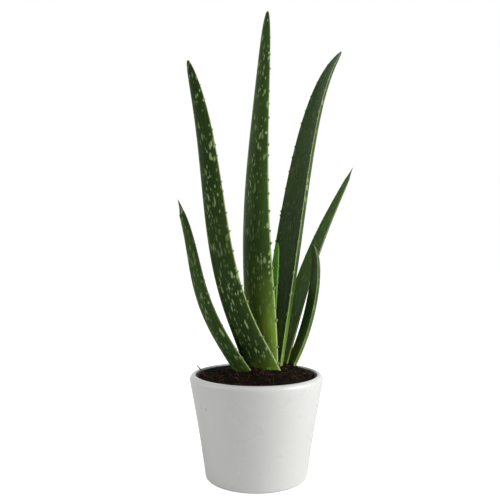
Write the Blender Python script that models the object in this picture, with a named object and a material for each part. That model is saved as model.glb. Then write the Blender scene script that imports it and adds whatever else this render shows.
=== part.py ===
"""Potted aloe: two ranks of fleshy leaves on a short stem, in soil, in a nursery pot inside a glazed pot.

Metres, +Z up. The origin is the centre of the glazed pot's flat underside.
Each leaf is a crescent section carried along a spine that lies in one vertical plane through the crown.
"""
import math
from collections import namedtuple

import bmesh
import bpy
from mathutils import Vector

MM = 0.001
GAP = 0.3 * MM              # clearance between pieces that touch on the real plant

# Glazed pot: the outside radius at height z is FOOT + FLARE * z + BELLY * z * z.
POT_HEIGHT = 104.3 * MM
POT_FOOT_RADIUS = 51.3 * MM
POT_FLARE = 0.14
POT_BELLY = 0.26            # per metre
POT_WALL = 6.0 * MM
POT_FLOOR = 6.0 * MM
POT_FOOT_ROUNDING = 3.0 * MM
POT_INNER_CORNER = 5.0 * MM
POT_LIP_OUTER_ROUNDING = 4.6 * MM
POT_LIP_INNER_ROUNDING = 1.5 * MM
POT_SEGMENTS = 60

# Nursery pot: thin black plastic, standing on the glazed pot's floor.
GROW_BASE_Z = POT_FLOOR + GAP
GROW_TOP_Z = 103.0 * MM
GROW_BASE_RADIUS = 41.5 * MM
GROW_TOP_RADIUS = 58.6 * MM
GROW_WALL = 0.9 * MM
GROW_RIM_RADIUS = 60.6 * MM
GROW_RIM_DEPTH = 7.0 * MM
GROW_RIM_ROUNDING = 0.7 * MM
GROW_SEGMENTS = 48
DRAIN_HOLES = 6
DRAIN_HOLE_RADIUS = 3.5 * MM
DRAIN_CIRCLE_RADIUS = 28.0 * MM

# Soil: a bed nearly level with the rim, and a round heap about the crown.
SOIL_EDGE_Z = 101.2 * MM
SOIL_HEAP = 13.0 * MM
SOIL_HEAP_RADIUS = 52.0 * MM
SOIL_RINGS = 9
SOIL_SEGMENTS = GROW_SEGMENTS
SOIL_LUMP = 0.9 * MM

# Crown: every leaf springs from the stem's axis.
CROWN = Vector((10.0, 0.0, 0.0)) * MM
STEM_PROFILE = (            # radius and height, root end first, in millimetres
    (2.5, 62), (8, 66), (12, 76), (15.5, 88), (15.5, 94), (10, 98.5), (4.5, 102), (2.5, 105.5),
)
STEM_SEGMENTS = 20

# Leaf section, as fractions of the half width.
BASE_DEPTH = 0.66           # how far the outer face bulges at the base
TIP_DEPTH = 0.80
BASE_CHANNEL = 0.42         # how far the inner face is hollowed at the base
TIP_CHANNEL = 0.06
SECTION_FULLNESS = 0.6      # 0.5 would be an ellipse, and less is boxier
TIP_BLUNTNESS = 24          # the width closes as sqrt(1 - t ** TIP_BLUNTNESS)
MARGIN_CLEARANCE = 1.2      # a cutter's sharp margin stands out this many gaps
LEAF_SIDES = 14
LEAF_RINGS = 24

# A leaf leans along its heading, in degrees from +X towards +Y. Its spine is a Bezier curve:
# reach is the distance from the crown's axis along the heading, height is above the pot's base.
Leaf = namedtuple("Leaf", "name heading reach height half_width")
LEAVES = (
    Leaf("leaf_left_low", 200, (7, 46, 80, 64, 92), (90, 144, 189, 220, 279), (17.5, 16, 14.5, 11, 5.5)),
    Leaf("leaf_left_tall", 222, (2, 1, 88, 48, 99), (95, 143, 180, 294, 404), (31, 21, 15.5, 16, 16.5, 12, 6.5)),
    Leaf("leaf_centre", 214, (1, 3, 21, 4, -2), (97, 203, 254, 352, 474), (22, 25.5, 20.5, 12, 6.5)),
    Leaf("leaf_right_tall", 34, (1, 13, 36, 43, 102), (97, 188, 260, 397, 450), (18, 21.5, 20.5, 14, 5.5)),
    Leaf("leaf_right_rear", 42, (5, 35, 55, 99, 139), (91, 148, 224, 270, 326), (14, 12.5, 10.5, 7, 2.5)),
    Leaf("leaf_right_front", 20, (10, 44, 47, 60, 52), (90, 130, 168, 205, 235), (9.5, 9, 10.5, 9.5, 5)),
    Leaf("leaf_young", 34, (0, 2, 6, 10, 14), (106, 140, 170, 205, 238), (6.5, 8, 8, 6, 3)),
)
# Which leaf base makes room for which younger one that it wraps.
CLASPS = (
    ("leaf_left_low", "leaf_left_tall"),
    ("leaf_left_tall", "leaf_centre"),
    ("leaf_centre", "leaf_right_tall"),
    ("leaf_right_rear", "leaf_right_tall"),
    ("leaf_right_front", "leaf_right_rear"),
    ("leaf_right_front", "leaf_right_tall"),
    ("leaf_right_front", "leaf_left_tall"),
    ("leaf_left_low", "leaf_centre"),
)

# Loose bits on the soil: centre-line points in millimetres and the radius.
TWIG_POINTS = ((-50.5, -6, 99.5), (-53, -6, 104.5), (-56.5, -5.5, 109), (-60, -5, 113))
TWIG_RADIUS = 0.7 * MM
FIBRE_POINTS = ((-17, -25, 104), (-19, -25.5, 109.5), (-21.5, -24, 113.5), (-24, -20, 115.5))
FIBRE_RADIUS = 0.45 * MM
ROD_SIDES = 8
ROD_TAPER = 0.35

COLOURS = {
    "glaze": ((0.80, 0.80, 0.79), 0.30),
    "black_plastic": ((0.012, 0.012, 0.013), 0.45),
    "soil": ((0.022, 0.014, 0.010), 0.95),
    "stem": ((0.30, 0.33, 0.12), 0.60),
    "leaf": ((0.14, 0.25, 0.08), 0.40),
    "young_leaf": ((0.22, 0.38, 0.09), 0.40),
    "twig": ((0.20, 0.13, 0.07), 0.85),
}


def clear_scene():
    """Remove every object of the open scene."""
    for old in list(bpy.data.objects):
        bpy.data.objects.remove(old)


def material(name):
    """The Principled material of one finish, made the first time it is asked for."""
    found = bpy.data.materials.get(name)
    if found:
        return found
    colour, roughness = COLOURS[name]
    made = bpy.data.materials.new(name)
    made.use_nodes = True
    shader = made.node_tree.nodes["Principled BSDF"]
    shader.inputs["Base Color"].default_value = (*colour, 1.0)
    shader.inputs["Roughness"].default_value = roughness
    shader.inputs["Metallic"].default_value = 0.0
    return made


def mesh_object(name, bm, finish):
    """Turn a bmesh into a named, smooth-shaded object with its faces pointing out."""
    bmesh.ops.recalc_face_normals(bm, faces=bm.faces)
    mesh = bpy.data.meshes.new(name)
    bm.to_mesh(mesh)
    bm.free()
    mesh.shade_smooth()
    mesh.set_sharp_from_angle(angle=math.radians(40))
    mesh.materials.append(material(finish))
    made = bpy.data.objects.new(name, mesh)
    bpy.context.collection.objects.link(made)
    return made


def as_cutter(cutter):
    """Keep an object as a tool for Boolean cuts, and out of the finished part."""
    cutter.hide_render = True
    cutter.display_type = "WIRE"
    return cutter


def cut(target, cutter):
    """Subtract one object from another with the exact solver."""
    boolean = target.modifiers.new("cut_" + cutter.name, "BOOLEAN")
    boolean.operation = "DIFFERENCE"
    boolean.object = cutter


def skin(rings, cap_start=True, tip=None):
    """Join equal rings of points with triangles, all split the same way, and close both ends."""
    bm = bmesh.new()
    loops = [[bm.verts.new(point) for point in ring] for ring in rings]
    count = len(loops[0])
    for near, far in zip(loops, loops[1:]):
        for i in range(count):
            j = (i + 1) % count
            bm.faces.new((near[i], near[j], far[j]))
            bm.faces.new((near[i], far[j], far[i]))
    if cap_start:
        bm.faces.new(loops[0])
    if tip is None:
        bm.faces.new(loops[-1])
    else:
        point = bm.verts.new(tip)
        for i in range(count):
            bm.faces.new((loops[-1][i], loops[-1][(i + 1) % count], point))
    return bm


def turned(profile, segments, centre=Vector((0, 0, 0))):
    """Revolve a profile of (radius, height) points about a vertical axis; it ends on the axis or in a cap."""
    rings = []
    for radius, height in profile:
        ring = []
        for i in range(segments):
            angle = math.tau * i / segments
            ring.append(centre + Vector((radius * math.cos(angle), radius * math.sin(angle), height)))
        rings.append(ring)
    return skin(rings)


def arc(centre_radius, centre_z, size, start, end, steps):
    """Points on a profile's rounding, from the start angle to the end angle in degrees."""
    points = []
    for i in range(steps + 1):
        angle = math.radians(start + (end - start) * i / steps)
        points.append((centre_radius + size * math.cos(angle), centre_z + size * math.sin(angle)))
    return points


def pot_radius(z):
    """Outside radius of the glazed pot at height z."""
    return POT_FOOT_RADIUS + POT_FLARE * z + POT_BELLY * z * z


def make_pot():
    """Glazed pot: flat foot, gently flared wall, rounded lip, and a plain flat floor inside."""
    lip_top = POT_HEIGHT - POT_LIP_OUTER_ROUNDING
    lip_centre = pot_radius(lip_top) - POT_LIP_OUTER_ROUNDING - 0.3 * MM
    mouth = lip_centre - POT_LIP_INNER_ROUNDING
    foot_centre = pot_radius(POT_FOOT_ROUNDING) - POT_FOOT_ROUNDING
    corner_z = POT_FLOOR + POT_INNER_CORNER
    corner_centre = pot_radius(corner_z) - POT_WALL - POT_INNER_CORNER
    profile = arc(foot_centre, POT_FOOT_ROUNDING, POT_FOOT_ROUNDING, -90, 0, 3)
    profile += [(pot_radius(z * POT_HEIGHT), z * POT_HEIGHT) for z in (0.2, 0.4, 0.6, 0.8, 0.92)]
    profile += arc(lip_centre, lip_top, POT_LIP_OUTER_ROUNDING, 5, 90, 4)
    inner_top = POT_HEIGHT - POT_LIP_INNER_ROUNDING
    profile += arc(lip_centre, inner_top, POT_LIP_INNER_ROUNDING, 110, 180, 2)
    profile += [(min(mouth, pot_radius(z * POT_HEIGHT) - POT_WALL), z * POT_HEIGHT) for z in (0.9, 0.6, 0.3)]
    profile += arc(corner_centre, corner_z, POT_INNER_CORNER, 0, -90, 3)
    return mesh_object("pot", turned(profile, POT_SEGMENTS), "glaze")


def grow_radius(z):
    """Outside radius of the nursery pot's tapered wall at height z."""
    share = (z - GROW_BASE_Z) / (GROW_TOP_Z - GROW_BASE_Z)
    return GROW_BASE_RADIUS + share * (GROW_TOP_RADIUS - GROW_BASE_RADIUS)


def make_grow_pot():
    """Nursery pot: thin tapered cup with a thick band as its rim and drain holes in its floor."""
    band_z = GROW_TOP_Z - GROW_RIM_DEPTH
    floor_z = GROW_BASE_Z + GROW_WALL
    profile = [
        (GROW_BASE_RADIUS, GROW_BASE_Z),
        (grow_radius(band_z), band_z),
        (GROW_RIM_RADIUS - 0.6 * MM, band_z),
    ]
    profile += arc(GROW_RIM_RADIUS - GROW_RIM_ROUNDING, GROW_TOP_Z - GROW_RIM_ROUNDING,
                   GROW_RIM_ROUNDING, 0, 180, 4)
    profile += [
        (grow_radius(band_z) - GROW_WALL, band_z),
        (grow_radius(floor_z) - GROW_WALL, floor_z),
    ]
    made = mesh_object("grow_pot", turned(profile, GROW_SEGMENTS), "black_plastic")
    holes = bmesh.new()
    for i in range(DRAIN_HOLES):
        angle = math.tau * i / DRAIN_HOLES
        centre = Vector((math.cos(angle), math.sin(angle), 0)) * DRAIN_CIRCLE_RADIUS
        drilled = bmesh.ops.create_cone(
            holes, cap_ends=True, segments=12, radius1=DRAIN_HOLE_RADIUS,
            radius2=DRAIN_HOLE_RADIUS, depth=6 * MM)
        bmesh.ops.translate(holes, verts=drilled["verts"], vec=centre + Vector((0, 0, GROW_BASE_Z)))
    cut(made, as_cutter(mesh_object("cut_drain_holes", holes, "black_plastic")))
    return made


def bezier(points, t):
    """Value at t of the Bezier curve of these control points, which may be numbers or vectors."""
    degree = len(points) - 1
    total = points[0] * 0.0
    for k, point in enumerate(points):
        total = total + point * (math.comb(degree, k) * t ** k * (1 - t) ** (degree - k))
    return total


def leaf_section(leaf, t, grow):
    """One closed crescent around the spine at t: the inner face first, then the outer face."""
    lean = Vector((math.cos(math.radians(leaf.heading)), math.sin(math.radians(leaf.heading)), 0))
    spine = [CROWN + (lean * r + Vector((0, 0, z))) * MM for r, z in zip(leaf.reach, leaf.height)]
    steps = [after - before for before, after in zip(spine, spine[1:])]
    centre = bezier(spine, t)
    along = bezier(steps, t).normalized()
    if t == 0:
        centre = centre - along * grow
    inward = (-lean + along * lean.dot(along)).normalized()
    across = along.cross(inward)
    half = bezier([w * MM for w in leaf.half_width], t) * math.sqrt(1 - t ** TIP_BLUNTNESS)
    depth = BASE_DEPTH + (TIP_DEPTH - BASE_DEPTH) * t
    channel = BASE_CHANNEL + (TIP_CHANNEL - BASE_CHANNEL) * t
    ring = []
    for i in range(LEAF_SIDES):
        angle = math.tau * i / LEAF_SIDES
        u = math.cos(angle)
        if math.sin(angle) >= -0.001:
            rise = grow - channel * half * (1 - u * u)
        else:
            rise = -grow - depth * half * (1 - u * u) ** SECTION_FULLNESS
        ring.append(centre + across * ((half + MARGIN_CLEARANCE * grow) * u) + inward * rise)
    return ring


def leaf_solid(name, leaf, finish, grow=0.0):
    """The leaf's closed body; grow swells it evenly to make a cutter."""
    rings = []
    for i in range(LEAF_RINGS):
        t = 1 - (1 - i / LEAF_RINGS) ** 1.25
        rings.append(leaf_section(leaf, t, grow))
    lean = Vector((math.cos(math.radians(leaf.heading)), math.sin(math.radians(leaf.heading)), 0))
    tip = CROWN + (lean * leaf.reach[-1] + Vector((0, 0, leaf.height[-1]))) * MM
    return mesh_object(name, skin(rings, tip=tip + Vector((0, 0, grow))), finish)


def stem_solid(name, grow=0.0):
    """Short stem: a blunt root end in the soil, a shoulder that carries the leaves and a growing point."""
    profile = [(radius * MM + grow, height * MM) for radius, height in STEM_PROFILE]
    profile[0] = (profile[0][0], profile[0][1] - grow)
    profile[-1] = (profile[-1][0], profile[-1][1] + grow)
    return mesh_object(name, turned(profile, STEM_SEGMENTS, CROWN), "stem")


def rod(name, points, radius, finish, grow=0.0):
    """A thin round piece carried along a few points, tapering towards its free end."""
    path = [Vector(point) * MM for point in points]
    path[0] = path[0] - (path[1] - path[0]).normalized() * grow
    rings = []
    for k, point in enumerate(path):
        along = (path[min(k + 1, len(path) - 1)] - path[max(k - 1, 0)]).normalized()
        side = along.cross(Vector((0, 1, 0))).normalized()
        other = along.cross(side)
        size = radius * (1 - ROD_TAPER * k / len(path)) + grow
        ring = []
        for i in range(ROD_SIDES):
            angle = math.tau * i / ROD_SIDES
            ring.append(point + side * (size * math.cos(angle)) + other * (size * math.sin(angle)))
        rings.append(ring)
    return mesh_object(name, skin(rings), finish)


def soil_point(share, angle, edge):
    """Point of the soil's surface: the bed, the heap about the crown, and low rounded lumps."""
    x = edge * share * math.cos(angle)
    y = edge * share * math.sin(angle)
    from_crown = math.hypot(x - CROWN.x, y - CROWN.y) / SOIL_HEAP_RADIUS
    lumps = math.sin(3 * angle + 1) + math.sin(7 * angle + 9 * share)
    z = SOIL_EDGE_Z + SOIL_HEAP * max(0.0, 1 - from_crown ** 2)
    return Vector((x, y, z + SOIL_LUMP * 0.5 * lumps * share * (1 - share)))


def make_soil():
    """Soil: fills the nursery pot and is heaped around the leaf bases."""
    floor_z = GROW_BASE_Z + GROW_WALL + GAP
    edge = grow_radius(SOIL_EDGE_Z) - GROW_WALL - GAP
    rings = []
    for radius, z in ((grow_radius(floor_z) - GROW_WALL - GAP, floor_z), (edge, SOIL_EDGE_Z)):
        rings.append([Vector((radius * math.cos(a), radius * math.sin(a), z)) for a in soil_angles()])
    for k in range(SOIL_RINGS - 1, 0, -1):
        rings.append([soil_point(k / SOIL_RINGS, angle, edge) for angle in soil_angles()])
    return mesh_object("soil", skin(rings, tip=soil_point(0, 0, edge)), "soil")


def soil_angles():
    """The directions of the soil's radial rows."""
    return [math.tau * i / SOIL_SEGMENTS for i in range(SOIL_SEGMENTS)]


def main():
    """Build the pots, the soil, the stem and the leaves, and cut each where its neighbour passes."""
    clear_scene()
    make_pot()
    make_grow_pot()
    soil = make_soil()
    stem_solid("stem")
    stem_cutter = as_cutter(stem_solid("cut_stem", GAP))
    cut(soil, stem_cutter)
    solids = {}
    cutters = {}
    for leaf in LEAVES:
        finish = "young_leaf" if leaf.name == "leaf_young" else "leaf"
        solids[leaf.name] = leaf_solid(leaf.name, leaf, finish)
        cutters[leaf.name] = as_cutter(leaf_solid("cut_" + leaf.name, leaf, finish, GAP))
        cut(solids[leaf.name], stem_cutter)
        cut(soil, cutters[leaf.name])
    for outer, inner in CLASPS:
        cut(solids[outer], cutters[inner])
    rod("twig", TWIG_POINTS, TWIG_RADIUS, "twig")
    rod("root_fibre", FIBRE_POINTS, FIBRE_RADIUS, "twig")
    cut(soil, as_cutter(rod("cut_twig", TWIG_POINTS, TWIG_RADIUS, "twig", GAP)))
    cut(soil, as_cutter(rod("cut_root_fibre", FIBRE_POINTS, FIBRE_RADIUS, "twig", GAP)))


main()
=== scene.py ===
"""Looks of the potted aloe: waxy spotted leaves with teeth, rough soil and a satin glazed pot."""
import math
from collections import namedtuple

import bmesh
import bpy
import numpy as np
from bpy.props import FloatProperty, FloatVectorProperty, IntProperty, PointerProperty
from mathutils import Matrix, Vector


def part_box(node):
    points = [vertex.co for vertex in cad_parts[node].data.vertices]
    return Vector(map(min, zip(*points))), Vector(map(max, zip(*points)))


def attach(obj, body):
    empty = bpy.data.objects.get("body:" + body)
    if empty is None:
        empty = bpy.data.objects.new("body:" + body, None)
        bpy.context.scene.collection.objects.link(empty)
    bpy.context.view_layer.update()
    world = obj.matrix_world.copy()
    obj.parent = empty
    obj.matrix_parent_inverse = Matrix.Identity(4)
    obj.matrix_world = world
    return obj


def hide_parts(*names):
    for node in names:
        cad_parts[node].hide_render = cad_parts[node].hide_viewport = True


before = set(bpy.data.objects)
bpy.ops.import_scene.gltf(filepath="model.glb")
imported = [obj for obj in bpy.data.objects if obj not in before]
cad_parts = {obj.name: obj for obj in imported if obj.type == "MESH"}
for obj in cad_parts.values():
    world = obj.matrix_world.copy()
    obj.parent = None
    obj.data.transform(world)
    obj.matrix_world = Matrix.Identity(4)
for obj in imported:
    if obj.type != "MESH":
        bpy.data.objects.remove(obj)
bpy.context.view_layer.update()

bl_info = {
    "name": "Potted Aloe",
    "version": (1, 0, 0),
    "blender": (4, 5, 0),
    "location": "View3D > Sidebar > Aloe",
    "description": "Builds a potted aloe with spotted, toothed leaves",
    "category": "Add Mesh",
}

SEED = 7
MM = 0.001
WELD = 1e-7
CROWN = np.array([10.0, 0.0, 0.0]) * MM
BODY = "root"

Leaf = namedtuple("Leaf", "heading reach height widths spots tooth dry_tip pale tone")

# heading in degrees; reach, height and half widths of the spine's control points in millimetres; strength
# of the spots; size of the teeth and length of the dry tip in millimetres; share of the leaf that its pale
# base takes; how light its green is.
LEAVES = {
    "leaf_left_low": Leaf(200, (7, 46, 80, 64, 92), (90, 144, 189, 220, 279), (17.5, 16, 14.5, 11, 5.5),
                          spots=0.85, tooth=1.5, dry_tip=8, pale=0.20, tone=0.85),
    "leaf_left_tall": Leaf(222, (2, 1, 88, 48, 99), (95, 143, 180, 294, 404),
                           (31, 21, 15.5, 16, 16.5, 12, 6.5),
                           spots=1.0, tooth=2.6, dry_tip=1, pale=0.24, tone=0.58),
    "leaf_centre": Leaf(214, (1, 3, 21, 4, -2), (97, 203, 254, 352, 474), (22, 25.5, 20.5, 12, 6.5),
                        spots=1.0, tooth=2.8, dry_tip=1, pale=0.42, tone=0.9),
    "leaf_right_tall": Leaf(34, (1, 13, 36, 43, 102), (97, 188, 260, 397, 450), (18, 21.5, 20.5, 14, 5.5),
                            spots=0.7, tooth=2.5, dry_tip=1, pale=0.26, tone=0.85),
    "leaf_right_rear": Leaf(42, (5, 35, 55, 99, 139), (91, 148, 224, 270, 326), (14, 12.5, 10.5, 7, 2.5),
                            spots=1.0, tooth=1.5, dry_tip=5, pale=0.30, tone=1.6),
    "leaf_right_front": Leaf(20, (10, 44, 47, 60, 52), (90, 130, 168, 205, 235), (9.5, 9, 10.5, 9.5, 5),
                             spots=0.5, tooth=1.0, dry_tip=2, pale=0.45, tone=1.35),
    "leaf_young": Leaf(34, (0, 2, 6, 10, 14), (106, 140, 170, 205, 238), (6.5, 8, 8, 6, 3),
                       spots=0.2, tooth=3.0, dry_tip=1, pale=0.60, tone=1.6),
}
BASE_DEPTH, TIP_DEPTH = 0.66, 0.80
BASE_CHANNEL, TIP_CHANNEL = 0.42, 0.06
FULLNESS = 0.6
BLUNTNESS = 24
TOOTH_SIDES = 6
# Loops of a tooth from root to point, as shares of its size: how far out, how wide, how far to the tip.
TOOTH_LOOPS = ((0.0, 0.0, 0.0), (0.0, 0.55, 0.0), (0.45, 0.24, 0.10), (1.0, 0.0, 0.45))
NEEDLE_TIP = 4              # a dry tip longer than this, in millimetres, ends in a needle
NEEDLE_START = 0.94
RING_CROWDING = 1.25

POT_FOOT_RADIUS, POT_SLOPE, POT_BELLY = 51.3 * MM, 0.14, 0.26
POT_WALL, POT_FLOOR, FOOT_ROUNDING = 6 * MM, 6 * MM, 3 * MM
LIP_ROUNDING, INNER_LIP_ROUNDING = 4.6 * MM, 1.5 * MM
GROW_BASE_Z, GROW_BASE_RADIUS, GROW_WALL = 6.3 * MM, 41.5 * MM, 0.8 * MM
SOIL_BED = 101.6 * MM
HEAP_HEIGHT, HEAP_RADIUS = 13.6 * MM, 52 * MM
SOIL_RADIUS = 57.0 * MM
SOIL_COLUMNS = 300
SOIL_BASE_RADIUS, SOIL_BASE_Z = 40.0 * MM, 7.6 * MM
CAMERA_PLACE = (-0.0065, -0.654, 0.2298)
CAMERA_LENS = 46.18
FLOOR_HALF = 6
# Lamps: name, place, target, side of the square and power.
LAMPS = (("key", (1.1, -0.35, 0.6), (0, 0, 0.22), 0.8, 16.5),
         ("fill", (-0.9, -0.2, 0.6), (0, 0, 0.2), 0.8, 3.5))
POT_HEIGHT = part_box("pot")[1][2]
GROW_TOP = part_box("grow_pot")[1][2]


def srgb(red, green, blue):
    """A screen colour from 0 to 255 as linear values."""
    values = np.array([red, green, blue]) / 255.0
    return tuple(np.where(values <= 0.04045, values / 12.92, ((values + 0.055) / 1.055) ** 2.4)) + (1.0,)


class AloeSizes(bpy.types.PropertyGroup):
    """Fineness and proportions of the visible surfaces."""
    leaf_rings: IntProperty(name="Leaf rings", description="Rows along each leaf", default=200, min=20)
    leaf_sides: IntProperty(name="Leaf sides", description="Points round each leaf", default=48, min=12)
    tooth_pitch: FloatProperty(name="Tooth pitch", description="Distance between teeth along a margin",
                               default=0.018, unit="LENGTH")
    pot_segments: IntProperty(name="Pot segments", description="Columns round the pots", default=192, min=24)
    crumbs: IntProperty(name="Crumbs", description="Loose crumbs on the soil", default=1500, min=0)
    fibres: IntProperty(name="Fibres", description="Loose fibres on the soil", default=260, min=0)


class AloeColours(bpy.types.PropertyGroup):
    """Base colours of the finishes."""
    leaf: FloatVectorProperty(name="Leaf", description="Leaf green", subtype="COLOR", size=4,
                              default=srgb(56, 80, 35))
    base: FloatVectorProperty(name="Leaf base", description="Green where a leaf leaves the crown",
                              subtype="COLOR", size=4, default=srgb(122, 150, 48))
    young: FloatVectorProperty(name="Young leaf", description="Green of the youngest leaf", subtype="COLOR",
                               size=4, default=srgb(104, 160, 58))
    spot: FloatVectorProperty(name="Spots", description="Pale spots and teeth", subtype="COLOR", size=4,
                              default=srgb(134, 158, 102))
    edge: FloatVectorProperty(name="Teeth", description="Pale margins and teeth", subtype="COLOR", size=4,
                              default=srgb(176, 196, 128))
    glaze: FloatVectorProperty(name="Glaze", description="White glaze", subtype="COLOR", size=4,
                               default=srgb(206, 206, 203))
    soil: FloatVectorProperty(name="Soil", description="Dark peat", subtype="COLOR", size=4,
                              default=srgb(24, 17, 11))


# Surfaces ------------------------------------------------------------------------------------------

def bezier(points, t):
    """Bernstein sum of the control points at every t: the Bezier curve of any degree."""
    points = np.asarray(points, float)
    degree = len(points) - 1
    weights = [math.comb(degree, k) * t ** k * (1 - t) ** (degree - k) for k in range(degree + 1)]
    return np.stack(weights, -1) @ points


def grid_faces(rows, columns, closed=True):
    """Quads of a grid of rows by columns, whose last column meets the first when it is closed."""
    r, c = np.meshgrid(np.arange(rows - 1), np.arange(columns if closed else columns - 1), indexing="ij")
    n = (c + 1) % columns
    quads = np.stack([r * columns + c, r * columns + n, (r + 1) * columns + n, (r + 1) * columns + c], -1)
    return quads.reshape(-1, 4)


def mesh_piece(name, vertices, quads, triangles=(), uv=None, zone=None, smooth=True):
    """Put whole arrays of points and faces into a mesh object; uv and zone hold one row for each point."""
    vertices = np.asarray(vertices, np.float32).reshape(-1, 3)
    faces = [np.asarray(quads, np.int32).reshape(-1, 4), np.asarray(triangles, np.int32).reshape(-1, 3)]
    corners = np.concatenate([f.ravel() for f in faces])
    sizes = np.concatenate([np.full(len(f), f.shape[1], np.int32) for f in faces])
    mesh = bpy.data.meshes.new(name)
    mesh.vertices.add(len(vertices))
    mesh.vertices.foreach_set("co", vertices.ravel())
    mesh.loops.add(len(corners))
    mesh.loops.foreach_set("vertex_index", corners)
    mesh.polygons.add(len(sizes))
    mesh.polygons.foreach_set("loop_start", np.concatenate([[0], np.cumsum(sizes)[:-1]]).astype(np.int32))
    mesh.polygons.foreach_set("use_smooth", np.full(len(sizes), smooth))
    mesh.update(calc_edges=True)
    if uv is not None:
        layer = mesh.uv_layers.new(name="surface")
        layer.data.foreach_set("uv", np.asarray(uv, np.float32)[corners].ravel())
    if zone is not None:
        colours = mesh.color_attributes.new("zone", "FLOAT_COLOR", "POINT")
        rgba = np.concatenate([zone, np.ones((len(zone), 1))], 1).astype(np.float32)
        colours.data.foreach_set("color", rgba.ravel())
    mesh.validate()
    weld(mesh)
    piece = bpy.data.objects.new(name, mesh)
    bpy.context.scene.collection.objects.link(piece)
    return piece


def weld(mesh):
    """Merge points that coincide, which closes the poles, tips and caps that are drawn in to one point."""
    shape = bmesh.new()
    shape.from_mesh(mesh)
    bmesh.ops.remove_doubles(shape, verts=shape.verts, dist=WELD)
    shape.to_mesh(mesh)
    shape.free()


def finish_piece(piece, node, material):
    """Give a piece its material and its body, and hide the CAD node that it stands for."""
    piece.data.materials.clear()
    piece.data.materials.append(material)
    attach(piece, BODY)
    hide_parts(node)


def leaf_frame(leaf, t):
    """Centre, inward, across and along directions of a leaf's spine at every t, in its upright plane."""
    angle = math.radians(leaf.heading)
    lean = np.array([math.cos(angle), math.sin(angle), 0.0])
    spine = CROWN + (np.outer(leaf.reach, lean) + np.outer(leaf.height, [0, 0, 1])) * MM
    centre = bezier(spine, t)
    along = bezier(np.diff(spine, axis=0), t)
    along /= np.linalg.norm(along, axis=1)[:, None]
    inward = -lean + along * (along @ lean)[:, None]
    inward /= np.linalg.norm(inward, axis=1)[:, None]
    return centre, inward, np.cross(along, inward), along


def half_width(widths, t, needle=1.0):
    """Half width at every t: a Bezier curve that closes at the tip as the root of one minus t to a power,
    and that narrows by two thirds from where the needle starts."""
    drawn = np.clip((t - needle) / max(1 - needle, 1e-6), 0, 1) ** 0.7
    return bezier(widths, t) * MM * np.sqrt(np.maximum(1 - t ** BLUNTNESS, 0)) * (1 - 0.66 * drawn)


def leaf_surface(leaf, needle, rings, sides, rng):
    """Crescent carried along the spine: the inner face is a parabola hollowed by the channel share, and
    the outer face bulges as the depth share times (1 - u squared) to the fullness, u across the leaf. The
    first ring is drawn in to the spine, and so is the last, so that the base and the tip are closed."""
    t = np.concatenate([[0], 1 - (1 - np.linspace(0, 1, rings - 1)) ** RING_CROWDING])
    centre, inward, across, _ = leaf_frame(leaf, t)
    half = half_width(leaf.widths, t, needle)
    wave = np.cumsum(rng.normal(0, 1, rings))
    wave = np.convolve(wave - np.linspace(wave[0], wave[-1], rings), np.ones(15) / 15, "same")
    half = half * (1 + 0.006 * wave / max(np.abs(wave).max(), 1e-6))
    half[0] = 0
    angle = np.linspace(0, math.tau, sides, endpoint=False)
    u = np.cos(angle)
    outer = np.sin(angle) < -1e-6
    bulge = np.maximum(1 - u * u, 0)
    depth = (BASE_DEPTH + (TIP_DEPTH - BASE_DEPTH) * t)[:, None]
    channel = (BASE_CHANNEL + (TIP_CHANNEL - BASE_CHANNEL) * t)[:, None]
    rise = np.where(outer, -depth * bulge ** FULLNESS, -channel * bulge) * half[:, None]
    points = centre[:, None] + across[:, None] * (half[:, None] * u)[..., None]
    points = points + inward[:, None] * rise[..., None]
    length = np.concatenate([[0], np.cumsum(np.linalg.norm(np.diff(centre, axis=0), axis=1))])
    uv = np.stack([half[:, None] * u + outer * 0.1, np.broadcast_to(length[:, None], (rings, sides))], -1)
    margin = np.broadcast_to(np.abs(u) ** 14, (rings, sides))
    share = np.broadcast_to(t[:, None], (rings, sides))
    side = np.broadcast_to(outer.astype(float), (rings, sides))
    zone = np.stack([share, side, margin], -1)
    return points.reshape(-1, 3), uv.reshape(-1, 2), zone.reshape(-1, 3), t, length


def leaf_teeth(leaf, pitch, t_ring, length, rng):
    """Curved cones on both margins: a closed root, a ring of six points, a raised ring and a point hooked
    to the tip."""
    total = length[-1]
    count = int((total - 0.02) / pitch)
    places = np.arange(count) + rng.uniform(-0.22, 0.22, count)
    s = 0.022 + places * pitch * (total - 0.03) / (count * pitch)
    t_of = np.interp(s, length, t_ring)
    points, zones = [], []
    for sign in (-1.0, 1.0):
        t = np.clip(t_of + rng.uniform(-0.012, 0.012, count), 0, 0.985)
        centre, inward, across, along = leaf_frame(leaf, t)
        half = half_width(leaf.widths, t)
        grown = leaf.tooth * MM * (1.15 - 0.55 * t) * rng.uniform(0.75, 1.2, count)
        out = across * sign
        root = centre + out * (half - 0.35 * MM)[:, None]
        ring = np.linspace(0, math.tau, TOOTH_SIDES, endpoint=False)
        for reach_out, spread, hook in TOOTH_LOOPS:
            middle = root + out * (reach_out * grown + 0.1 * MM)[:, None] + along * (hook * grown)[:, None]
            loop = (along[:, None] * (np.cos(ring) * spread * 1.3)[None, :, None]
                    + inward[:, None] * (np.sin(ring) * spread * 0.7)[None, :, None]) * grown[:, None, None]
            points.append((middle[:, None] + loop).reshape(-1, 3))
            zones.append(np.tile([0.5, 1.0, 1.0 + reach_out], (count * TOOTH_SIDES, 1)))
    points, zones = np.array(points), np.array(zones)
    shape = (2, len(TOOTH_LOOPS), count, TOOTH_SIDES, 3)
    return points.reshape(shape), zones.reshape(shape)


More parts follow.
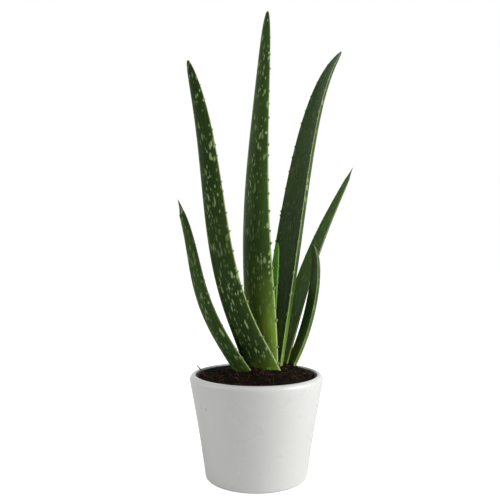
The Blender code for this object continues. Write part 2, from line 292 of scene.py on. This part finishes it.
def teeth_faces(count, start):
    """Quads between the teeth's loops of six points, for both margins, numbered from start."""
    loops = len(TOOTH_LOOPS)
    index = start + np.arange(2 * loops * count * TOOTH_SIDES).reshape(2, loops, count, TOOTH_SIDES)
    turned = np.roll(index, -1, axis=3)
    quads = np.stack([index[:, :-1], turned[:, :-1], turned[:, 1:], index[:, 1:]], -1)
    flipped = quads.copy()
    flipped[0] = quads[0][..., ::-1]
    return flipped.reshape(-1, 4)


def turned_surface(profile, segments):
    """Profile of (radius, height) revolved about the pot's axis: x and y are radius times cosine and sine."""
    profile = np.asarray(profile, float)
    angle = np.linspace(0, math.tau, segments, endpoint=False)
    x = profile[:, :1] * np.cos(angle)
    y = profile[:, :1] * np.sin(angle)
    z = np.broadcast_to(profile[:, 1:], x.shape)
    return np.stack([x, y, z], -1).reshape(-1, 3)


def arc(radius, height, size, start, end, steps=10):
    """Points of a rounding in a profile, its centre at (radius, height), angles in degrees."""
    angle = np.radians(np.linspace(start, end, steps))
    return list(zip(radius + size * np.cos(angle), height + size * np.sin(angle)))


def pot_radius(z):
    """Outside radius of the glazed pot: foot, plus a slope and a slight belly."""
    return POT_FOOT_RADIUS + POT_SLOPE * z + POT_BELLY * z * z


def pot_profile():
    """Foot, flared wall, rounded lip, inner wall and floor of the glazed pot."""
    lip_z = POT_HEIGHT - LIP_ROUNDING
    lip_centre = pot_radius(lip_z) - LIP_ROUNDING - 0.3 * MM
    foot = pot_radius(FOOT_ROUNDING) - FOOT_ROUNDING
    points = [(0.0, 0.0)] + arc(foot, FOOT_ROUNDING, FOOT_ROUNDING, -90, 0)
    points += [(pot_radius(z), z) for z in np.linspace(6 * MM, POT_HEIGHT * 0.92, 30)]
    points += arc(lip_centre, lip_z, LIP_ROUNDING, 4, 90, 14)
    points += arc(lip_centre, POT_HEIGHT - INNER_LIP_ROUNDING, INNER_LIP_ROUNDING, 105, 180, 8)
    mouth = lip_centre - INNER_LIP_ROUNDING
    points += [(min(mouth, pot_radius(z) - POT_WALL), z) for z in np.linspace(POT_HEIGHT * 0.9, 13 * MM, 12)]
    points += arc(pot_radius(11 * MM) - POT_WALL - 5 * MM, POT_FLOOR + 5 * MM, 5 * MM, 0, -90, 6)
    points += [(0.0, POT_FLOOR)]
    return points


def grow_profile():
    """Thin tapered cup whose rim is a thicker band."""
    low, band, top = GROW_BASE_Z, GROW_TOP - 7 * MM, GROW_TOP
    points = [(0.0, low), (GROW_BASE_RADIUS, low), (57.3 * MM, band), (60.0 * MM, band)]
    points += arc(59.9 * MM, top - 0.7 * MM, 0.7 * MM, 0, 180, 8)
    points += [(56.5 * MM, band), (GROW_BASE_RADIUS - GROW_WALL, low + 0.9 * MM), (0.0, low + 0.9 * MM)]
    return points


def ripple(x, y, rng, octaves=((90, 1.0), (210, 0.6), (480, 0.35), (900, 0.2))):
    """Sum of crossed sine waves in random directions: a rough field of about unit height."""
    field = np.zeros_like(x)
    for frequency, weight in octaves:
        for _ in range(5):
            direction = rng.uniform(0, math.tau)
            phase = rng.uniform(0, math.tau)
            stretch = rng.uniform(0.7, 1.4)
            along = frequency * (x * math.cos(direction) + y * math.sin(direction)) * stretch
            field = field + weight * 0.5 * np.sin(along + phase)
    return field


def soil_height(x, y, rng):
    """Level bed plus a round heap about the crown that falls off with the square of the distance, both
    roughened by the ripple field."""
    radius = np.hypot(x, y) / (57.5 * MM)
    from_crown = np.hypot(x - CROWN[0], y - CROWN[1]) / HEAP_RADIUS
    heap = SOIL_BED + HEAP_HEIGHT * np.clip(1 - from_crown ** 2, 0, 1)
    fade = np.clip((1 - radius) * 6, 0.25, 1)
    return heap * np.clip(1.03 - 0.03 * radius ** 6, 0, 1) + 0.75 * MM * ripple(x, y, rng) * fade


# Materials -----------------------------------------------------------------------------------------

def new_material(name, roughness, specular=0.5, coat=0.0):
    """Principled material with its uniform values on the shader's own sockets."""
    made = bpy.data.materials.new(name)
    made.use_nodes = True
    shader = made.node_tree.nodes["Principled BSDF"]
    shader.inputs["Roughness"].default_value = roughness
    shader.inputs["Specular IOR Level"].default_value = specular
    shader.inputs["Coat Weight"].default_value = coat
    return made, made.node_tree, shader


def node(tree, kind, inputs=None, **settings):
    """Add a node, set its properties, and link or set its inputs."""
    made = tree.nodes.new(kind)
    for key, value in settings.items():
        setattr(made, key, value)
    for key, value in (inputs or {}).items():
        if isinstance(value, bpy.types.NodeSocket):
            tree.links.new(value, made.inputs[key])
        else:
            made.inputs[key].default_value = value
    return made


def mapped(tree, source, scale):
    """Coordinates stretched by a Mapping node."""
    return node(tree, "ShaderNodeMapping", {"Vector": source, "Scale": scale}).outputs[0]


def noise(tree, vector, scale=1.0, detail=4.0):
    """Noise value on the given coordinates."""
    return node(tree, "ShaderNodeTexNoise", {"Vector": vector, "Scale": scale, "Detail": detail}).outputs[0]


def span(tree, value, low, high, to_low=0.0, to_high=1.0):
    """Smooth step of a value from one range to another."""
    return node(tree, "ShaderNodeMapRange", {0: value, 1: low, 2: high, 3: to_low, 4: to_high},
                interpolation_type="SMOOTHSTEP").outputs[0]


def mix(tree, share, first, second, blend="MIX"):
    """Colour mix of two colours or sockets."""
    return node(tree, "ShaderNodeMix", {0: share, 6: first, 7: second}, data_type="RGBA",
                blend_type=blend).outputs[2]


def times(tree, first, second):
    """Product of two values."""
    return node(tree, "ShaderNodeMath", {0: first, 1: second}, operation="MULTIPLY").outputs[0]


def larger(tree, first, second):
    """The larger of two values."""
    return node(tree, "ShaderNodeMath", {0: first, 1: second}, operation="MAXIMUM").outputs[0]


def bump(tree, shader, height, distance, strength=1.0):
    """Bump on a shader from a height value."""
    made = node(tree, "ShaderNodeBump", {"Height": height, "Distance": distance, "Strength": strength})
    tree.links.new(made.outputs[0], shader.inputs["Normal"])


def leaf_material(name, green, spots, tip_start, base_reach, colours):
    """Waxy skin: green that pales to the base, oblong pale spots in rows, fine streaks, a brown tip and
    pale teeth. The surface map runs across and along the leaf in metres."""
    made, tree, shader = new_material(name, 0.40, 0.05, 0.0)
    surface = node(tree, "ShaderNodeUVMap", uv_map="surface").outputs[0]
    zone = node(tree, "ShaderNodeAttribute", attribute_name="zone")
    parts = node(tree, "ShaderNodeSeparateColor", {0: zone.outputs["Color"]})
    share, outer, margin = parts.outputs[0], parts.outputs[1], parts.outputs[2]
    streaks = noise(tree, mapped(tree, surface, (700, 14, 1)), 1.0, 3.0)
    clouds = noise(tree, mapped(tree, surface, (60, 22, 1)), 1.0, 3.0)
    spot = 0.0
    for stretch, low, high in (((390, 92, 1), 0.34, 0.52), ((640, 190, 1), 0.48, 0.68)):
        cells = node(tree, "ShaderNodeTexVoronoi",
                     {"Vector": mapped(tree, surface, stretch), "Scale": 1.0, "Randomness": 0.85})
        picked = node(tree, "ShaderNodeSeparateColor", {0: cells.outputs["Color"]}).outputs[0]
        layer = times(tree, span(tree, cells.outputs["Distance"], 0.42, 0.18), span(tree, picked, low, high))
        spot = larger(tree, layer, spot)
    patch = span(tree, clouds, 0.38, 0.58, 0.40, 1.0)
    on_outer = span(tree, outer, 0.0, 1.0, 0.55, 1.0)
    spot = times(tree, times(tree, spot, times(tree, patch, on_outer)), spots)
    colour = mix(tree, span(tree, share, 0.02, base_reach, 1.0, 0.0), green, tuple(colours.base))
    colour = mix(tree, span(tree, clouds, 0.3, 0.7, 0.0, 0.5), colour, tuple(np.array(green) * 0.62))
    colour = mix(tree, span(tree, streaks, 0.45, 0.75, 0.0, 0.34), colour, tuple(np.array(green) * 1.7))
    colour = mix(tree, spot, colour, tuple(colours.spot))
    colour = mix(tree, span(tree, margin, 0.75, 1.1, 0.0, 0.9), colour, tuple(colours.edge))
    colour = mix(tree, span(tree, share, tip_start, 1.0), colour, srgb(92, 76, 48))
    tree.links.new(colour, shader.inputs["Base Color"])
    rough = span(tree, streaks, 0.3, 0.7, 0.30, 0.44)
    tree.links.new(rough, shader.inputs["Roughness"])
    bump(tree, shader, streaks, 0.00018, 0.6)
    return made


def glaze_material(colours):
    """White satin glaze with a faint mottling, a soft ripple and a darker beige band over the lowest
    millimetre of the foot.
    """
    made, tree, shader = new_material("white_glaze", 0.28, 0.5, 0.25)
    place = node(tree, "ShaderNodeTexCoord").outputs["Object"]
    mottle = noise(tree, place, 38.0, 3.0)
    height = node(tree, "ShaderNodeSeparateXYZ", {0: place}).outputs[2]
    shade = tuple(np.array(colours.glaze[:3]) * 0.975) + (1.0,)
    colour = mix(tree, span(tree, mottle, 0.3, 0.7, 0.0, 0.6), tuple(colours.glaze), shade)
    # Darker beige band over the lowest 1.2 mm of the pot, just above the floor
    foot = span(tree, height, 0.0012, 0.0004)
    colour = mix(tree, foot, colour, srgb(196, 184, 164))
    tree.links.new(colour, shader.inputs["Base Color"])
    tree.links.new(span(tree, mottle, 0.2, 0.8, 0.24, 0.36), shader.inputs["Roughness"])
    bump(tree, shader, noise(tree, place, 55.0, 2.0), 0.0003, 0.25)
    return made


def rough_material(name, dark, light, scale, depth, roughness):
    """Crumbly or woody finish: two colours mixed by noise, with bump from a finer noise."""
    made, tree, shader = new_material(name, roughness, 0.06)
    place = node(tree, "ShaderNodeTexCoord").outputs["Object"]
    grain = noise(tree, place, scale, 8.0)
    tree.links.new(mix(tree, span(tree, grain, 0.38, 0.68), dark, light), shader.inputs["Base Color"])
    bump(tree, shader, noise(tree, place, scale * 3, 6.0), depth)
    return made


# Operators -----------------------------------------------------------------------------------------

class ALOE_OT_leaves(bpy.types.Operator):
    """Build every leaf with its teeth and skin"""
    bl_idname = "aloe.leaves"
    bl_label = "Leaves"

    def execute(self, context):
        sizes, colours = context.scene.aloe_sizes, context.scene.aloe_colours
        for number, (name, leaf) in enumerate(LEAVES.items()):
            rng = np.random.default_rng(SEED + number)
            points, uv, zone, t_ring, length = leaf_surface(
                leaf, NEEDLE_START if leaf.dry_tip > NEEDLE_TIP else 1.0,
                sizes.leaf_rings, sizes.leaf_sides, rng)
            quads = grid_faces(sizes.leaf_rings, sizes.leaf_sides)[:, ::-1]
            teeth, tooth_zone = leaf_teeth(
                leaf, sizes.tooth_pitch, t_ring, length, rng)
            extra = teeth_faces(teeth.shape[2], len(points))
            points = np.concatenate([points, teeth.reshape(-1, 3)])
            uv = np.concatenate([uv, np.zeros((teeth.size // 3, 2))])
            zone = np.concatenate([zone, tooth_zone.reshape(-1, 3)])
            piece = mesh_piece(name + "_skin", points, np.concatenate([quads, extra]), uv=uv, zone=zone)
            green = np.array(colours.young if name == "leaf_young" else colours.leaf)
            green = tuple(green * (leaf.tone, leaf.tone, leaf.tone, 1.0))
            tip_start = 1 - leaf.dry_tip * MM / length[-1] * 1.3
            finish = leaf_material(name + "_skin", green, leaf.spots, tip_start, leaf.pale, colours)
            finish_piece(piece, name, finish)
        return {"FINISHED"}


class ALOE_OT_pots(bpy.types.Operator):
    """Build the glazed pot and the nursery pot inside it"""
    bl_idname = "aloe.pots"
    bl_label = "Pots"

    def execute(self, context):
        sizes, colours = context.scene.aloe_sizes, context.scene.aloe_colours
        plastic = rough_material("black_plastic", srgb(20, 20, 21), srgb(30, 30, 31), 300, 0.00004, 0.5)
        for name, profile, slot, finish in (
                ("pot", pot_profile(), "glaze", glaze_material(colours)),
                ("grow_pot", grow_profile(), "black_plastic", plastic)):
            points = turned_surface(profile, sizes.pot_segments)
            piece = mesh_piece(name + "_shell", points, grid_faces(len(profile), sizes.pot_segments))
            piece.data.set_sharp_from_angle(angle=math.radians(50))
            finish_piece(piece, name, finish)
        return {"FINISHED"}


class ALOE_OT_soil(bpy.types.Operator):
    """Build the soil's rough surface with its crumbs and fibres"""
    bl_idname = "aloe.soil"
    bl_label = "Soil"

    def execute(self, context):
        sizes, colours = context.scene.aloe_sizes, context.scene.aloe_colours
        share = np.linspace(0, 1, 110)[:, None]
        angle = np.linspace(0, math.tau, SOIL_COLUMNS, endpoint=False)
        x, y = SOIL_RADIUS * share * np.cos(angle), SOIL_RADIUS * share * np.sin(angle)
        z = soil_height(x, y, np.random.default_rng(SEED))
        top = np.stack([x, y, z], -1)[::-1]
        low = [np.stack([r * np.cos(angle), r * np.sin(angle), np.full_like(angle, h)], -1)
               for r, h in ((0.0, SOIL_BASE_Z), (SOIL_BASE_RADIUS, SOIL_BASE_Z))]
        points = np.concatenate([np.array(low), top]).reshape(-1, 3)
        dark, light = tuple(np.array(colours.soil) * 0.5), tuple(np.array(colours.soil) * 1.7)
        finish = rough_material("peat", dark, light, 240, 0.0012, 1.0)
        heap = mesh_piece("soil_heap", points, grid_faces(len(points) // SOIL_COLUMNS, SOIL_COLUMNS))
        finish_piece(heap, "soil", finish)
        self.scatter(sizes.crumbs, finish)
        self.strew(sizes.fibres)
        return {"FINISHED"}

    @staticmethod
    def scatter(count, finish):
        """Crumbs: octahedra with uneven half axes, turned at random and sunk a little into the surface."""
        rng = np.random.default_rng(SEED + 20)
        radius = 56.0 * MM * np.sqrt(rng.uniform(0, 1, count))
        angle = rng.uniform(0, math.tau, count)
        x, y = radius * np.cos(angle), radius * np.sin(angle)
        z = soil_height(x, y, np.random.default_rng(SEED))
        half = rng.uniform(0.35, 1.5, (count, 3)) * MM * rng.uniform(0.5, 1.1, (count, 1))
        corners = np.array([(1, 0, 0), (0, 1, 0), (-1, 0, 0), (0, -1, 0), (0, 0, 1), (0, 0, -1)], float)
        turn = np.linalg.qr(rng.normal(size=(count, 3, 3)))[0]
        turn *= np.sign(np.linalg.det(turn))[:, None, None]
        shape = (corners[None] * half[:, None]) @ turn
        points = shape + np.stack([x, y, z], -1)[:, None]
        faces = np.array([(0, 1, 4), (1, 2, 4), (2, 3, 4), (3, 0, 4),
                          (1, 0, 5), (2, 1, 5), (3, 2, 5), (0, 3, 5)])
        triangles = (faces[None] + 6 * np.arange(count)[:, None, None]).reshape(-1, 3)
        piece = mesh_piece("soil_crumbs", points, [], triangles, smooth=False)
        finish_piece(piece, "soil", finish)

    @staticmethod
    def strew(count):
        """Fibres: thin four-sided tubes, pointed at both ends, along shallow arcs that lie on the surface."""
        rng = np.random.default_rng(SEED + 30)
        steps = np.linspace(-0.5, 0.5, 7)
        radius = 54.0 * MM * np.sqrt(rng.uniform(0, 1, count))
        angle = rng.uniform(0, math.tau, count)
        heading = rng.uniform(0, math.tau, count)
        length = rng.uniform(3, 11, count)[:, None] * MM
        bend = rng.uniform(-0.35, 0.35, count)[:, None]
        side = length * bend * (steps ** 2 * 4 - 1) * 0.5
        ahead = np.cos(heading)[:, None], np.sin(heading)[:, None]
        x = (radius * np.cos(angle))[:, None] + length * steps * ahead[0] - side * ahead[1]
        y = (radius * np.sin(angle))[:, None] + length * steps * ahead[1] + side * ahead[0]
        inside = np.minimum(1, 55.5 * MM / np.maximum(np.hypot(x, y), 1e-6))
        x, y = x * inside, y * inside
        z = soil_height(x, y, np.random.default_rng(SEED)) + 0.3 * MM
        middle = np.stack([x, y, z], -1)
        thick = rng.uniform(0.10, 0.26, count)[:, None] * MM * np.sqrt(1 - 4 * steps ** 2)
        ring = np.linspace(0, math.tau, 4, endpoint=False)
        out = np.stack([-np.sin(heading), np.cos(heading), 0 * heading], -1)[:, None, None]
        up = np.array([0, 0, 1.0])
        loop = out * np.cos(ring)[None, None, :, None] + up * np.sin(ring)[None, None, :, None]
        points = middle[:, :, None] + loop * thick[:, :, None, None]
        quads = (grid_faces(7, 4)[None] + 28 * np.arange(count)[:, None, None]).reshape(-1, 4)
        piece = mesh_piece("soil_fibres", points, quads)
        finish = rough_material("fibre", srgb(58, 42, 28), srgb(118, 92, 62), 400, 0.0002, 0.9)
        finish_piece(piece, "soil", finish)


class ALOE_OT_bits(bpy.types.Operator):
    """Give the stem, twig and root fibre their finish"""
    bl_idname = "aloe.bits"
    bl_label = "Stem and bits"

    def execute(self, context):
        bark = rough_material("bark", srgb(62, 46, 32), srgb(132, 108, 78), 500, 0.0004, 0.9)
        stem = rough_material("stem_skin", srgb(86, 92, 44), srgb(134, 136, 74), 160, 0.0003, 0.6)
        for name, finish in (("stem", stem), ("twig", bark), ("root_fibre", bark)):
            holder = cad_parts[name]
            holder.data.materials.clear()
            holder.data.materials.append(finish)
        return {"FINISHED"}


class ALOE_OT_stage(bpy.types.Operator):
    """Set out the floor, the light and the camera"""
    bl_idname = "aloe.stage"
    bl_label = "Stage"

    def execute(self, context):
        corners = np.array([(-1, -1, 0), (1, -1, 0), (1, 1, 0), (-1, 1, 0)], float) * FLOOR_HALF
        floor = mesh_piece("floor", corners, [(0, 1, 2, 3)], smooth=False)
        made, tree, shader = new_material("pale_floor", 0.8, 0.1)
        shader.inputs["Base Color"].default_value = (0.86, 0.86, 0.86, 1)
        rays = node(tree, "ShaderNodeLightPath")
        seen = times(tree, rays.outputs["Is Camera Ray"], 0.75)
        shader.inputs["Emission Color"].default_value = (1, 1, 1, 1)
        tree.links.new(seen, shader.inputs["Emission Strength"])
        floor.data.materials.append(made)
        self.world(context.scene)
        for values in LAMPS:
            self.lamp(*values)
        camera = bpy.data.objects.new("camera", bpy.data.cameras.new("camera"))
        camera.location = CAMERA_PLACE
        camera.rotation_euler = (math.radians(90), 0, 0)
        camera.data.lens = CAMERA_LENS
        camera.data.sensor_width = 36.0
        context.scene.collection.objects.link(camera)
        context.scene.camera = camera
        context.scene.view_settings.view_transform = "Standard"
        return {"FINISHED"}

    @staticmethod
    def world(scene):
        """White to the camera and to reflections, and a plain grey as light."""
        world = bpy.data.worlds.new("studio")
        world.use_nodes = True
        tree = world.node_tree
        tree.nodes.clear()
        rays = node(tree, "ShaderNodeLightPath")
        seen = larger(tree, rays.outputs["Is Camera Ray"], rays.outputs["Is Glossy Ray"])
        seen = larger(tree, seen, rays.outputs["Is Transmission Ray"])
        strength = node(tree, "ShaderNodeMapRange", {0: seen, 3: 0.34, 4: 1.0}).outputs[0]
        light = node(tree, "ShaderNodeBackground", {"Color": (1, 1, 1, 1), "Strength": strength})
        out = node(tree, "ShaderNodeOutputWorld")
        tree.links.new(light.outputs[0], out.inputs[0])
        scene.world = world

    @staticmethod
    def lamp(name, place, target, size, power):
        """A square soft lamp that faces a target."""
        data = bpy.data.lights.new(name, "AREA")
        data.size = size
        data.energy = power
        lamp = bpy.data.objects.new(name, data)
        lamp.location = place
        direction = np.array(target) - np.array(place)
        flat = math.hypot(direction[0], direction[1])
        turn = math.atan2(direction[1], direction[0]) - math.pi / 2
        lamp.rotation_euler = (math.atan2(flat, -direction[2]), 0, turn)
        bpy.context.scene.collection.objects.link(lamp)


class ALOE_PT_panel(bpy.types.Panel):
    """Panel that lists the building steps and the sizes"""
    bl_label = "Potted Aloe"
    bl_idname = "ALOE_PT_panel"
    bl_space_type = "VIEW_3D"
    bl_region_type = "UI"
    bl_category = "Aloe"

    def draw(self, context):
        for step in STEPS:
            self.layout.operator(step.bl_idname)
        for group in (context.scene.aloe_sizes, context.scene.aloe_colours):
            for name in group.__annotations__:
                self.layout.prop(group, name)


STEPS = (ALOE_OT_leaves, ALOE_OT_pots, ALOE_OT_soil, ALOE_OT_bits, ALOE_OT_stage)
CLASSES = (AloeSizes, AloeColours) + STEPS + (ALOE_PT_panel,)


def register():
    """Register the classes and hang the settings on the scene."""
    for cls in CLASSES:
        bpy.utils.register_class(cls)
    bpy.types.Scene.aloe_sizes = PointerProperty(type=AloeSizes)
    bpy.types.Scene.aloe_colours = PointerProperty(type=AloeColours)


def unregister():
    """Take the settings and the classes away."""
    del bpy.types.Scene.aloe_sizes
    del bpy.types.Scene.aloe_colours
    for cls in reversed(CLASSES):
        bpy.utils.unregister_class(cls)


def main():
    """Run every step in order."""
    register()
    bpy.ops.aloe.leaves()
    bpy.ops.aloe.pots()
    bpy.ops.aloe.soil()
    bpy.ops.aloe.bits()
    bpy.ops.aloe.stage()


if __name__ == "__main__":
    main()
